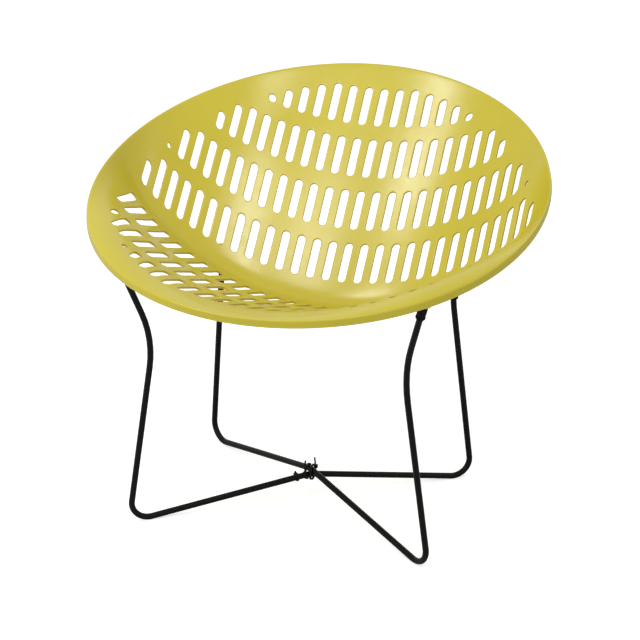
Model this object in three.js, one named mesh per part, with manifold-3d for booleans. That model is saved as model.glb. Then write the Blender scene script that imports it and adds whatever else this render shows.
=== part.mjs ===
// Bucket lawn chair: a slotted plastic bucket on two bent rods that are tied where they cross.
// Lengths are millimetres. x runs across the chair, the front faces -y and z is up.
import * as THREE from 'three';
import { mergeVertices } from 'three/addons/utils/BufferGeometryUtils.js';
import Module from 'manifold-3d';

// Rim of the bucket, an ellipse in plan that rises toward the back
const RIM_HALF_WIDTH = 381;
const RIM_HALF_DEPTH = 368.5;
const RIM_SIDE_HEIGHT = 557;
const RIM_RISE_SHARE = 0.2646;
const RIM_END_LIFT = 10.5;

// Lip turned down all round the rim
const LIP_DROP = 13;
const LIP_FLARE = 2;
const LIP_WALL = 3;
const LIP_ROUNDING = 1.2;

// Seat and back planes that meet in a soft crease, curved up toward both sides
const WALL = 4;
const CREASE_FROM_BACK = 318;
const CREASE_HEIGHT = 321.5;
const CREASE_SOFTNESS = 9;
const SEAT_SLOPE_SHARE = 0.382;
const BACK_SLOPE_SHARE = 1.0746;
const SIDE_RADIUS_EXCESS = 61;
const CURVE_FADE_EXCESS = 82;
const BLEND_START_SHARE = 0.82;

// Slots in columns of even pitch along the curve. The rows drift a little with the rise of the sides,
// and all slots keep a margin from the rim.
const SLOT_WIDTH = 14;
const COLUMN_PITCH = 28.5;
const SHORTEST_SLOT = 5;
const BACK_ROW_FROM_CREASE = 56.5;
const BACK_ROW_PITCH = 67.9;
const BACK_ROWS = 4;
const BACK_SLOT_DEPTH = 50;
const BACK_SIDE_MARGIN = 23;
const BACK_END_MARGIN = 26.5;
const BACK_DRIFT_SHARE = -0.11;
const SEAT_ROW_FROM_CREASE = 72;
const SEAT_ROW_PITCH = 115;
const SEAT_ROWS = 3;
const SEAT_SLOT_DEPTH = 85;
const SEAT_SIDE_MARGIN = 39;
const SEAT_END_MARGIN = 40.5;
const SEAT_DRIFT_SHARE = 0.05;

// Fineness of the bucket mesh
const SKIN_EDGE_SHARE = 0.962;
const BRIM_SHARES = [0.975, 0.992];
const WEB_SHARES = [0.87, 0.915];
const CREASE_SOFT_SHARES = [-1.5, -0.75, -0.25, 0.25, 0.75, 1.5];
const CREASE_SPREAD = 18;
const CLOSEST_LEVELS = 8;
const CLOSEST_POINTS = 0.01;
const LONGEST_EDGE_CHORD = 32;
const TILT_PROBE = 0.5;
const SLOT_END_TURNS_SHARE = [0, 1 / 3, 2 / 3, 1];

// Rods of the base. Feet, knees and tops are set in from the rim, and the tops hang below the bucket.
const ROD_RADIUS = 5.25;
const ROD_SIDES = 12;
const FIT_GAP = 0.3;
const FOOT_WEAR = 0.5;
const FOOT_BEND_RADIUS = 30;
const LEG_BEND_RADIUS = 200;
const CROSSING_BEND_RADIUS = 60;
const BEND_STEP_SHARE = 0.065;
const FRONT_FOOT = { fromSide: 118.4, fromEnd: 149.3 };
const FRONT_KNEE = { fromSide: 169, fromEnd: 162, underTop: 145.8 };
const FRONT_TOP = { fromSide: 126.2, fromEnd: 125.8, underSkin: 12.7 };
const BACK_FOOT = { fromSide: 137, fromEnd: 240.4 };
const BACK_KNEE = { fromSide: 170.4, fromEnd: 269.7, underTop: 51 };
const BACK_TOP = { fromSide: 171.5, fromEnd: 270.5, underSkin: 40.4 };
const CROSSING_Y = -39;
const CROSSING_HEIGHT = 45.7;

// Caps on the rod ends and the sockets of the bucket that hold them
const CAP_RADIUS = 8;
const CAP_LENGTH = 40;
const CAP_TOP = 3;
const CAP_CHAMFER = 1;
const CAP_SIDES = 24;
const SOCKET_WALL = 3.2;
const SOCKET_SIDES = 24;
const SOCKET_REACH = 40;
const FRONT_SOCKET = { depth: 12, above: 40, ribWidth: 8 };
const BACK_SOCKET = { depth: 28, above: 4.5, ribWidth: 18 };
const SKIN_BITE = 2;

// Ties round the crossing
const TIE_WIDTH = 4;
const TIE_THICKNESS = 1.3;
const TIE_TURN_STEPS = 8;
const TIE_HEAD_SIZE = 6.5;
const TIE_TAIL_WIDTH = 3;
const TIE_TAIL_THICKNESS = 1.6;
const TIE_SLACK = 1.45;
const TIE_SPREAD = 4.5;
const SINGLE_TIE_OFFSET = 24;
const FIRST_TAIL = 24;
const SECOND_TAIL = 21;
const THIRD_TAIL = 7;
const FIRST_LEAN = -0.1;
const SECOND_LEAN = -0.25;
const THIRD_LEAN = 0.4;

const wasm = await Module();
wasm.setup();

const shellYellow = new THREE.MeshStandardMaterial({ color: '#cfbb3e', roughness: 0.42, metalness: 0 });
const rodBlack = new THREE.MeshStandardMaterial({ color: '#161616', roughness: 0.38, metalness: 0.25 });
const capBlack = new THREE.MeshStandardMaterial({ color: '#111111', roughness: 0.6, metalness: 0 });
const tieBlack = new THREE.MeshStandardMaterial({ color: '#1a1a1a', roughness: 0.5, metalness: 0 });

// Solid operations

function toManifold(geometry) {
  const bare = geometry.clone();
  bare.deleteAttribute('normal');
  bare.deleteAttribute('uv');
  const merged = mergeVertices(bare);
  return new wasm.Manifold(new wasm.Mesh({
    numProp: 3,
    vertProperties: new Float32Array(merged.attributes.position.array),
    triVerts: new Uint32Array(merged.index.array),
  }));
}

function toGeometry(solid) {
  const mesh = solid.getMesh();
  const geometry = new THREE.BufferGeometry();
  const positions = new Float32Array(mesh.numVert * 3);
  for (let v = 0; v < mesh.numVert; v += 1) {
    for (let axis = 0; axis < 3; axis += 1) {
      positions[v * 3 + axis] = mesh.vertProperties[v * mesh.numProp + axis];
    }
  }
  geometry.setAttribute('position', new THREE.BufferAttribute(positions, 3));
  geometry.setIndex(new THREE.BufferAttribute(new Uint32Array(mesh.triVerts), 1));
  geometry.computeVertexNormals();
  return geometry;
}

function makeMesh(name, geometry, material) {
  geometry.computeVertexNormals();
  const mesh = new THREE.Mesh(geometry, material);
  mesh.name = name;
  return mesh;
}

// Surface of the bucket

const sideRadius = RIM_HALF_WIDTH + SIDE_RADIUS_EXCESS;
const fadeLength = CREASE_FROM_BACK + CURVE_FADE_EXCESS;
const creaseY = RIM_HALF_DEPTH - CREASE_FROM_BACK;
const backRowY = creaseY + BACK_ROW_FROM_CREASE;
const seatRowY = creaseY - SEAT_ROW_FROM_CREASE;

function rimHeight(y) {
  return RIM_SIDE_HEIGHT + RIM_RISE_SHARE * y + RIM_END_LIFT * (y / RIM_HALF_DEPTH) ** 2;
}

function sideRise(x, radius) {
  return radius - Math.sqrt(radius * radius - x * x);
}

function ruledHeight(x, y) {
  const seat = CREASE_HEIGHT + SEAT_SLOPE_SHARE * (creaseY - y);
  const back = CREASE_HEIGHT + BACK_SLOPE_SHARE * (y - creaseY);
  const crease = (seat + back) / 2 + Math.hypot((seat - back) / 2, CREASE_SOFTNESS);
  const fade = Math.max(y - creaseY, 0) / fadeLength;
  return crease + sideRise(x, sideRadius / (1 - fade ** 3));
}

function rimShare(x, y) {
  return Math.hypot(x / RIM_HALF_WIDTH, y / RIM_HALF_DEPTH);
}

// The outer part of the bucket bends over until it meets the rim.
function topHeight(x, y) {
  const share = rimShare(x, y);
  if (share <= BLEND_START_SHARE) return ruledHeight(x, y);
  const blend = ((share - BLEND_START_SHARE) / (1 - BLEND_START_SHARE)) ** 2;
  const drop = rimHeight(y / share) - ruledHeight(x / share, y / share);
  return ruledHeight(x, y) + blend * drop;
}

function topPoint(x, y) {
  return new THREE.Vector3(x, y, topHeight(x, y));
}

function topNormal(x, y) {
  const alongX = (topHeight(x + TILT_PROBE, y) - topHeight(x - TILT_PROBE, y)) / (2 * TILT_PROBE);
  const alongY = (topHeight(x, y + TILT_PROBE) - topHeight(x, y - TILT_PROBE)) / (2 * TILT_PROBE);
  return new THREE.Vector3(-alongX, -alongY, 1).normalize();
}

function underPoint(x, y) {
  return topPoint(x, y).addScaledVector(topNormal(x, y), -WALL);
}

// Slots, each a loop of plan points with round ends

function ellipseDepth(x, halfWidth, halfDepth) {
  return halfDepth * Math.sqrt(Math.max(1 - (x / halfWidth) ** 2, 0));
}

const slotReach = sideRadius * Math.asin((RIM_HALF_WIDTH - BACK_SIDE_MARGIN) / sideRadius);
const columnsPerSide = Math.floor(slotReach / COLUMN_PITCH);

function columnX(column) {
  return sideRadius * Math.sin((column * COLUMN_PITCH) / sideRadius);
}

function slotLoop(columnArc, front, back, slopeShare) {
  const stretchShare = Math.hypot(1, slopeShare);
  const half = Math.min(SLOT_WIDTH, (back - front) * stretchShare) / 2;
  const endDepth = half / stretchShare;
  const loop = [];
  for (const end of [1, -1]) {
    const centre = end > 0 ? back - endDepth : front + endDepth;
    for (const share of SLOT_END_TURNS_SHARE) {
      const arc = columnArc + end * half * Math.cos(Math.PI * share);
      const x = sideRadius * Math.sin(arc / sideRadius);
      loop.push(new THREE.Vector2(x, centre + end * endDepth * Math.sin(Math.PI * share)));
    }
  }
  return loop.filter((point, place) => point.distanceTo(loop[(place + 1) % loop.length]) > CLOSEST_POINTS);
}

function rowSlots(rowY, kind) {
  const slots = [];
  for (let column = 1; column <= columnsPerSide; column += 1) {
    const arc = (column - 1 / 2) * COLUMN_PITCH;
    const x = sideRadius * Math.sin(arc / sideRadius);
    const reach = x < kind.limitWidth ? ellipseDepth(x, kind.limitWidth, kind.limitDepth) : 0;
    const front = Math.max(rowY - kind.slotDepth / 2, -reach);
    const back = Math.min(rowY + kind.slotDepth / 2, reach);
    if (back - front < SHORTEST_SLOT) continue;
    const drift = kind.driftShare * sideRise(x, sideRadius);
    slots.push(slotLoop(arc, front + drift, back + drift, kind.slopeShare));
    slots.push(slotLoop(-arc, front + drift, back + drift, kind.slopeShare));
  }
  return slots;
}

function allSlots() {
  const back = {
    slotDepth: BACK_SLOT_DEPTH,
    slopeShare: BACK_SLOPE_SHARE,
    driftShare: BACK_DRIFT_SHARE,
    limitWidth: RIM_HALF_WIDTH - BACK_SIDE_MARGIN,
    limitDepth: RIM_HALF_DEPTH - BACK_END_MARGIN,
  };
  const seat = {
    slotDepth: SEAT_SLOT_DEPTH,
    slopeShare: SEAT_SLOPE_SHARE,
    driftShare: SEAT_DRIFT_SHARE,
    limitWidth: RIM_HALF_WIDTH - SEAT_SIDE_MARGIN,
    limitDepth: RIM_HALF_DEPTH - SEAT_END_MARGIN,
  };
  const slots = [];
  for (let row = 0; row < BACK_ROWS; row += 1) slots.push(...rowSlots(backRowY + row * BACK_ROW_PITCH, back));
  for (let row = 0; row < SEAT_ROWS; row += 1) slots.push(...rowSlots(seatRowY - row * SEAT_ROW_PITCH, seat));
  return slots;
}

// Plan mesh of the slotted skin, in strips between the slot columns

// Levels between the rows, each with its share of drift. Near the crease they drift less.
function webLevels() {
  const widest = Math.max(...CREASE_SOFT_SHARES);
  const levels = CREASE_SOFT_SHARES.map((share) => ({
    y: creaseY + share * CREASE_SPREAD,
    driftShare: (Math.abs(share) / widest) * (share > 0 ? BACK_DRIFT_SHARE : SEAT_DRIFT_SHARE),
  }));
  for (let row = 1; row < BACK_ROWS; row += 1) {
    levels.push({ y: backRowY + (row - 1 / 2) * BACK_ROW_PITCH, driftShare: BACK_DRIFT_SHARE });
  }
  for (let row = 1; row <= SEAT_ROWS; row += 1) {
    levels.push({ y: seatRowY - (row - 1 / 2) * SEAT_ROW_PITCH, driftShare: SEAT_DRIFT_SHARE });
  }
  return levels.sort((a, b) => a.y - b.y);
}

function skinEdgeDepth(x) {
  return ellipseDepth(x, SKIN_EDGE_SHARE * RIM_HALF_WIDTH, SKIN_EDGE_SHARE * RIM_HALF_DEPTH);
}

// Stops on the line between two columns, from the front edge of the skin to the back edge
function lineStops(x, levels) {
  const edge = skinEdgeDepth(x);
  const stops = levels
    .map((level) => ({ level, y: level.y + level.driftShare * sideRise(x, sideRadius) }))
    .filter(({ y }) => Math.abs(y) < edge - CLOSEST_LEVELS);
  for (const share of WEB_SHARES) {
    if (Math.abs(x) >= share * RIM_HALF_WIDTH) continue;
    const depth = ellipseDepth(x, share * RIM_HALF_WIDTH, share * RIM_HALF_DEPTH);
    for (const y of [-depth, depth]) {
      if (stops.every((stop) => Math.abs(stop.y - y) > CLOSEST_LEVELS)) stops.push({ y });
    }
  }
  if (Math.abs(x) === columnX(columnsPerSide)) stops.push({ y: 0 });
  return [{ y: -edge }, ...stops.sort((a, b) => a.y - b.y), { y: edge }];
}

function edgeArc(fromX, toX, side) {
  const halfWidth = SKIN_EDGE_SHARE * RIM_HALF_WIDTH;
  const from = new THREE.Vector2(fromX, side * skinEdgeDepth(fromX));
  const to = new THREE.Vector2(toX, side * skinEdgeDepth(toX));
  const pieces = Math.ceil(from.distanceTo(to) / LONGEST_EDGE_CHORD);
  const startTurn = Math.acos(fromX / halfWidth);
  const endTurn = Math.acos(toX / halfWidth);
  const points = [];
  for (let piece = 1; piece < pieces; piece += 1) {
    const x = halfWidth * Math.cos(startTurn + ((endTurn - startTurn) * piece) / pieces);
    points.push(new THREE.Vector2(x, side * skinEdgeDepth(x)));
  }
  return points;
}

function stripCells(leftX, rightX, levels) {
  const left = lineStops(leftX, levels);
  const right = lineStops(rightX, levels);
  const placeOf = (stops, level) => stops.findIndex((stop) => stop.level === level);
  const borders = levels.filter((level) => placeOf(left, level) > 0 && placeOf(right, level) > 0);
  const leftPlaces = [0, ...borders.map((level) => placeOf(left, level)), left.length - 1];
  const rightPlaces = [0, ...borders.map((level) => placeOf(right, level)), right.length - 1];
  const cells = [];
  for (let b = 0; b <= borders.length; b += 1) {
    const leftStops = left.slice(leftPlaces[b], leftPlaces[b + 1] + 1).reverse();
    const rightStops = right.slice(rightPlaces[b], rightPlaces[b + 1] + 1);
    const outline = leftStops.map(({ y }) => new THREE.Vector2(leftX, y));
    if (b === 0) outline.push(...edgeArc(leftX, rightX, -1));
    outline.push(...rightStops.map(({ y }) => new THREE.Vector2(rightX, y)));
    if (b === borders.length) outline.push(...edgeArc(rightX, leftX, 1));
    cells.push(outline);
  }
  return cells;
}

function sideCells(lineX, levels) {
  const stops = lineStops(lineX, levels);
  const side = Math.sign(lineX);
  const outerX = (y) => side * ellipseDepth(y, SKIN_EDGE_SHARE * RIM_HALF_DEPTH, SKIN_EDGE_SHARE * RIM_HALF_WIDTH);
  const cells = [];
  for (let s = 0; s + 1 < stops.length; s += 1) {
    const low = stops[s].y;
    const high = stops[s + 1].y;
    const outline = [new THREE.Vector2(lineX, high), new THREE.Vector2(lineX, low)];
    if (s > 0) outline.push(new THREE.Vector2(outerX(low), low));
    if (s + 2 < stops.length) outline.push(new THREE.Vector2(outerX(high), high));
    cells.push(outline);
  }
  return cells;
}

function planCells() {
  const levels = webLevels();
  const cells = [];
  for (let line = -columnsPerSide; line < columnsPerSide; line += 1) {
    cells.push(...stripCells(columnX(line), columnX(line + 1), levels));
  }
  cells.push(...sideCells(columnX(-columnsPerSide), levels));
  cells.push(...sideCells(columnX(columnsPerSide), levels));
  return cells;
}

function loopMiddle(loop) {
  const middle = new THREE.Vector2();
  for (const point of loop) middle.add(point);
  return middle.divideScalar(loop.length);
}

function isInside(point, outline) {
  let inside = false;
  for (let i = 0, j = outline.length - 1; i < outline.length; j = i, i += 1) {
    const a = outline[i];
    const b = outline[j];
    const crosses = a.y > point.y !== b.y > point.y;
    if (crosses && point.x < ((b.x - a.x) * (point.y - a.y)) / (b.y - a.y) + a.x) inside = !inside;
  }
  return inside;
}

function planMesh() {
  const points = [];
  const indexOf = new Map();
  const pointIndex = (point) => {
    const key = `${point.x.toFixed(4)} ${point.y.toFixed(4)}`;
    if (!indexOf.has(key)) {
      indexOf.set(key, points.length);
      points.push(point);
    }
    return indexOf.get(key);
  };
  const slots = allSlots();
  const faces = [];
  for (const outline of planCells()) {
    const contour = THREE.ShapeUtils.isClockWise(outline) ? [...outline].reverse() : outline;
    const holes = slots.filter((slot) => isInside(loopMiddle(slot), contour)).map((slot) => [...slot].reverse());
    const corners = [...contour, ...holes.flat()];
    for (const face of THREE.ShapeUtils.triangulateShape(contour, holes)) {
      const turned = THREE.ShapeUtils.area(face.map((corner) => corners[corner])) < 0 ? [...face].reverse() : face;
      faces.push(turned.map((corner) => pointIndex(corners[corner])));
    }
  }
  const loops = slots.map((slot) => slot.map(pointIndex));
  const edge = points
    .map((point, index) => ({ index, share: rimShare(point.x, point.y), point }))
    .filter(({ share }) => share > SKIN_EDGE_SHARE - TILT_PROBE / RIM_HALF_WIDTH)
    .map(({ index, point }) => ({ index, turn: Math.atan2(point.y / RIM_HALF_DEPTH, point.x / RIM_HALF_WIDTH) }))
    .sort((a, b) => a.turn - b.turn);
  return { points, faces, loops, edge };
}

// Cross-section of the brim and lip at one turn round the rim, from the top skin over to the underside
function brimSection(turn) {
  const tilt = Math.atan(RIM_RISE_SHARE);
  const rimX = RIM_HALF_WIDTH * Math.cos(turn);
  const rimY = RIM_HALF_DEPTH * Math.sin(turn);
  const outward = new THREE.Vector3(Math.cos(turn), Math.sin(turn) * Math.cos(tilt), Math.sin(turn) * Math.sin(tilt));
  const down = new THREE.Vector3(0, Math.sin(tilt), -Math.cos(tilt));
  const rim = new THREE.Vector3(rimX, rimY, rimHeight(rimY));
  const lipPoint = (out, drop) => rim.clone().addScaledVector(outward, out).addScaledVector(down, drop);

  const inner = topPoint(BRIM_SHARES[1] * rimX, BRIM_SHARES[1] * rimY).sub(rim);
  const slopeShare = inner.dot(down) / -inner.dot(outward);
  const flareShare = LIP_FLARE / LIP_DROP;
  const cornerDrop = (slopeShare * LIP_WALL + WALL * Math.hypot(1, slopeShare)) / (1 + slopeShare * flareShare);
  return [
    topPoint(BRIM_SHARES[0] * rimX, BRIM_SHARES[0] * rimY),
    topPoint(BRIM_SHARES[1] * rimX, BRIM_SHARES[1] * rimY),
    lipPoint(-LIP_ROUNDING / 2, LIP_ROUNDING / 4),
    lipPoint(LIP_ROUNDING / 4, 2 * LIP_ROUNDING),
    lipPoint(LIP_FLARE, LIP_DROP),
    lipPoint(LIP_FLARE - LIP_WALL / 2, LIP_DROP + LIP_ROUNDING),
    lipPoint(LIP_FLARE - LIP_WALL, LIP_DROP),
    lipPoint(flareShare * cornerDrop - LIP_WALL, cornerDrop),
    underPoint(BRIM_SHARES[0] * rimX, BRIM_SHARES[0] * rimY),
  ];
}

function bucketGeometry() {
  const { points, faces, loops, edge } = planMesh();
  const corners = [];
  for (const point of points) corners.push(topPoint(point.x, point.y));
  for (const point of points) corners.push(underPoint(point.x, point.y));
  const under = (index) => index + points.length;
  const triangles = [];
  const addQuad = (a, b, c, d) => triangles.push([a, b, c], [a, c, d]);

  for (const [a, b, c] of faces) {
    triangles.push([a, b, c]);
    triangles.push([under(a), under(c), under(b)]);
  }
  for (const loop of loops) {
    loop.forEach((index, place) => {
      const next = loop[(place + 1) % loop.length];
      addQuad(index, next, under(next), under(index));
    });
  }

  const sections = edge.map(({ index, turn }) => {
    const added = brimSection(turn).map((corner) => corners.push(corner) - 1);
    return [index, ...added, under(index)];
  });
  sections.forEach((section, place) => {
    const next = sections[(place + 1) % sections.length];
    for (let step = 0; step + 1 < section.length; step += 1) {
      addQuad(section[step], section[step + 1], next[step + 1], next[step]);
    }
  });

  const geometry = new THREE.BufferGeometry();
  geometry.setAttribute('position', new THREE.Float32BufferAttribute(corners.flatMap((c) => [c.x, c.y, c.z]), 3));
  geometry.setIndex(triangles.flat());
  return geometry;
}

// Rod ends: each has its top, the way it points and the depth of its socket

function insideRim(place, side, end) {
  return new THREE.Vector3(side * (RIM_HALF_WIDTH - place.fromSide), end * (RIM_HALF_DEPTH - place.fromEnd), 0);
}

function rodEnd(knee, top, side, end, socket) {
  const tip = insideRim(top, side, end);
  tip.z = topHeight(tip.x, tip.y) - top.underSkin;
  const from = insideRim(knee, side, end).setZ(tip.z - knee.underTop);
  const heading = tip.clone().sub(from).normalize();
  return { from, tip, heading, socket };
}

const rodEnds = {
  front_left: rodEnd(FRONT_KNEE, FRONT_TOP, -1, -1, FRONT_SOCKET),
  front_right: rodEnd(FRONT_KNEE, FRONT_TOP, 1, -1, FRONT_SOCKET),
  back_left: rodEnd(BACK_KNEE, BACK_TOP, -1, 1, BACK_SOCKET),
  back_right: rodEnd(BACK_KNEE, BACK_TOP, 1, 1, BACK_SOCKET),
};

function alongHeading(geometry, origin, heading) {
  const up = new THREE.Vector3(0, 0, 1);
  geometry.applyQuaternion(new THREE.Quaternion().setFromUnitVectors(up, heading));
  return geometry.translate(origin.x, origin.y, origin.z);
}

function roundBar(radius, length, sides) {
  return new THREE.CylinderGeometry(radius, radius, length, sides).rotateX(Math.PI / 2).translate(0, 0, length / 2);
}

// A socket is a round boss with a rib that leans into the bucket. Both are cut off inside the wall above them.
function socketSolids({ tip, heading, socket }) {
  const mouth = tip.clone().addScaledVector(heading, -socket.depth);
  const outerRadius = CAP_RADIUS + FIT_GAP + SOCKET_WALL;
  const length = socket.depth + FIT_GAP + socket.above;
  const normal = topNormal(tip.x, tip.y);
  const boss = toManifold(alongHeading(roundBar(outerRadius, length, SOCKET_SIDES), mouth, heading));

  const ribOutline = new THREE.Shape();
  ribOutline.moveTo(0, 0);
  ribOutline.lineTo(SOCKET_REACH, length / 2);
  ribOutline.lineTo(SOCKET_REACH, length);
  ribOutline.lineTo(0, length);
  const rib = new THREE.ExtrudeGeometry(ribOutline, { depth: socket.ribWidth, bevelEnabled: false });
  rib.translate(0, 0, -socket.ribWidth / 2);
  const across = new THREE.Vector3().crossVectors(normal, heading).normalize();
  const toSkin = new THREE.Vector3().crossVectors(heading, across);
  rib.applyMatrix4(new THREE.Matrix4().makeBasis(toSkin, heading, across));
  rib.translate(mouth.x, mouth.y, mouth.z);

  const cutter = new THREE.BoxGeometry(4 * SOCKET_REACH, 4 * SOCKET_REACH, 4 * SOCKET_REACH);
  cutter.translate(0, 0, 2 * SOCKET_REACH);
  const cutOrigin = topPoint(tip.x, tip.y).addScaledVector(normal, -SKIN_BITE);
  alongHeading(cutter, cutOrigin, normal);
  const bore = roundBar(CAP_RADIUS + FIT_GAP, socket.depth + SOCKET_REACH + FIT_GAP, SOCKET_SIDES);
  const boreStart = mouth.clone().addScaledVector(heading, -SOCKET_REACH);
  return {
    boss: boss.add(toManifold(rib)).subtract(toManifold(cutter)),
    bore: toManifold(alongHeading(bore, boreStart, heading)),
  };
}

function makeBucket() {
  let solid = toManifold(bucketGeometry());
  for (const end of Object.values(rodEnds)) {
    const { boss, bore } = socketSolids(end);
    solid = solid.add(boss).subtract(bore);
  }
  return makeMesh('seat_shell', toGeometry(solid), shellYellow);
}

// Caps, closed sleeves over the rod ends

function makeCap(name, end) {
  const bore = ROD_RADIUS + FIT_GAP;
  const profile = [
    new THREE.Vector2(0, CAP_LENGTH - CAP_TOP),
    new THREE.Vector2(bore, CAP_LENGTH - CAP_TOP),
    new THREE.Vector2(bore, 0),
    new THREE.Vector2(CAP_RADIUS - CAP_CHAMFER, 0),
    new THREE.Vector2(CAP_RADIUS, CAP_CHAMFER),
    new THREE.Vector2(CAP_RADIUS, CAP_LENGTH - CAP_CHAMFER),
    new THREE.Vector2(CAP_RADIUS - CAP_CHAMFER, CAP_LENGTH),
    new THREE.Vector2(0, CAP_LENGTH),
  ];
  const geometry = new THREE.LatheGeometry(profile, CAP_SIDES).rotateX(Math.PI / 2);
  const cap = makeMesh(name, geometry, capBlack);
  cap.position.copy(end.tip).addScaledVector(end.heading, -CAP_LENGTH);
  cap.quaternion.setFromUnitVectors(new THREE.Vector3(0, 0, 1), end.heading);
  return cap;
}

// Rods, straight runs joined by round bends

function bendAt(before, corner, after, radius) {
  const enter = corner.clone().sub(before).normalize();
  const leave = after.clone().sub(corner).normalize();
  const turn = enter.angleTo(leave);
  const inward = leave.clone().addScaledVector(enter, -Math.cos(turn)).normalize();
  const start = corner.clone().addScaledVector(enter, -radius * Math.tan(turn / 2));
  return { enter, inward, turn, start, radius };
}

function bendStations({ enter, inward, turn, start, radius }) {
  const steps = 2 * Math.max(1, Math.round(turn / (2 * BEND_STEP_SHARE * Math.PI)));
  const stations = [];
  for (let step = 0; step <= steps; step += 1) {
    const angle = (turn * step) / steps;
    const at = start.clone().addScaledVector(enter, radius * Math.sin(angle));
    at.addScaledVector(inward, radius * (1 - Math.cos(angle)));
    const heading = enter.clone().multiplyScalar(Math.cos(angle)).addScaledVector(inward, Math.sin(angle));
    stations.push({ at, heading });
  }
  return stations;
}

// Route whose sections sit exactly at the given stations
class StationRoute extends THREE.Curve {
  constructor(stations) {
    super();
    this.stations = stations;
  }

  stationAt(share) {
    return this.stations[Math.round(share * (this.stations.length - 1))];
  }

  getPoint(share) {
    return this.stationAt(share).at.clone();
  }

  getPointAt(share) {
    return this.getPoint(share);
  }

  getTangentAt(share) {
    return this.stationAt(share).heading.clone();
  }
}

// The foot corner is set so that the bend stands on the floor with a little worn off.
function footCorner(foot, side, end, knee, crossing) {
  const corner = insideRim(foot, side, end);
  for (let pass = 0; pass < 5; pass += 1) {
    const bend = bendAt(knee, corner, crossing, FOOT_BEND_RADIUS);
    const centreHeight = bend.start.z + bend.radius * bend.inward.z;
    const lowest = centreHeight - bend.radius * Math.hypot(bend.enter.z, bend.inward.z);
    corner.z += ROD_RADIUS - FOOT_WEAR - lowest;
  }
  return corner;
}

function rodCorners(frontSide, crossingHeight) {
  const frontEnd = frontSide > 0 ? rodEnds.front_right : rodEnds.front_left;
  const backEnd = frontSide > 0 ? rodEnds.back_left : rodEnds.back_right;
  const crossing = new THREE.Vector3(0, CROSSING_Y, crossingHeight);
  const inset = -(CAP_TOP + FIT_GAP);
  const frontTip = frontEnd.tip.clone().addScaledVector(frontEnd.heading, inset);
  const backTip = backEnd.tip.clone().addScaledVector(backEnd.heading, inset);
  const frontFoot = footCorner(FRONT_FOOT, frontSide, -1, frontEnd.from, crossing);
  const backFoot = footCorner(BACK_FOOT, -frontSide, 1, backEnd.from, crossing);
  return [frontTip, frontEnd.from, frontFoot, crossing, backFoot, backEnd.from, backTip];
}

function crossingApex(frontSide, crossingHeight) {
  const [frontFoot, crossing, backFoot] = rodCorners(frontSide, crossingHeight).slice(2, 5);
  const stations = bendStations(bendAt(frontFoot, crossing, backFoot, CROSSING_BEND_RADIUS));
  return stations[Math.round((stations.length - 1) / 2)].at;
}

function makeRod(name, frontSide, crossingHeight) {
  const corners = rodCorners(frontSide, crossingHeight);
  const radii = [LEG_BEND_RADIUS, FOOT_BEND_RADIUS, CROSSING_BEND_RADIUS, FOOT_BEND_RADIUS, LEG_BEND_RADIUS];
  const frontTip = corners[0];
  const backTip = corners[corners.length - 1];
  const frontHeading = frontTip.clone().sub(corners[1]).normalize();
  const backHeading = backTip.clone().sub(corners[corners.length - 2]).normalize();

  const stations = [{ at: frontTip, heading: frontHeading.negate() }];
  radii.forEach((radius, place) => {
    const bend = bendAt(corners[place], corners[place + 1], corners[place + 2], radius);
    stations.push(...bendStations(bend));
  });
  stations.push({ at: backTip, heading: backHeading });

  const section = new THREE.Shape();
  for (let side = 0; side < ROD_SIDES; side += 1) {
    const angle = (2 * Math.PI * side) / ROD_SIDES;
    const x = ROD_RADIUS * Math.cos(angle);
    const y = ROD_RADIUS * Math.sin(angle);
    if (side === 0) section.moveTo(x, y);
    else section.lineTo(x, y);
  }
  const route = new StationRoute(stations);
  const bar = new THREE.ExtrudeGeometry(section, { steps: stations.length - 1, extrudePath: route });
  const span = 4 * RIM_HALF_WIDTH;
  const floor = new THREE.BoxGeometry(span, span, span).translate(0, 0, -span / 2);
  return makeMesh(name, toGeometry(toManifold(bar).subtract(toManifold(floor))), rodBlack);
}

// Ties: a loop round the rods, a head and a cut tail that stands up

function tieLoop(halfWidth, halfHeight, endRise) {
  const outline = new THREE.Shape();
  const opening = new THREE.Path();
  for (const [path, grown] of [[outline, TIE_THICKNESS], [opening, 0]]) {
    for (let step = 0; step < 2 * TIE_TURN_STEPS; step += 1) {
      const angle = (Math.PI * (step + 1 / 2)) / TIE_TURN_STEPS;
      const x = (halfWidth + grown) * Math.cos(angle);
      const straight = Math.sign(Math.sin(angle)) * (halfHeight - endRise);
      const y = straight + (endRise + grown) * Math.sin(angle);
      if (step === 0) path.moveTo(x, y);
      else path.lineTo(x, y);
    }
    path.closePath();
  }
  outline.holes.push(opening);
  return new THREE.ExtrudeGeometry(outline, { depth: TIE_WIDTH, bevelEnabled: false }).translate(0, 0, -TIE_WIDTH / 2);
}

function makeTie(name, loop, tail) {
  const outside = loop.halfWidth + TIE_THICKNESS;
  const head = new THREE.BoxGeometry(TIE_HEAD_SIZE, TIE_HEAD_SIZE, TIE_HEAD_SIZE);
  head.translate(tail.side * (outside - TIE_THICKNESS / 2 + TIE_HEAD_SIZE / 2), loop.straight / 2, 0);
  const strip = new THREE.BoxGeometry(TIE_TAIL_THICKNESS, tail.length, TIE_TAIL_WIDTH).translate(0, tail.length / 2, 0);
  strip.rotateZ(-tail.side * tail.lean);
  strip.translate(tail.side * (outside + TIE_HEAD_SIZE / 4), loop.straight / 2, 0);
  const band = toManifold(tieLoop(loop.halfWidth, loop.halfHeight, loop.halfHeight - loop.straight));
  const solid = band.add(toManifold(head)).add(toManifold(strip));
  const tie = makeMesh(name, toGeometry(solid), tieBlack);
  tie.rotation.set(Math.PI / 2, loop.turn, 0);
  tie.position.copy(loop.centre);
  return tie;
}

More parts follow.
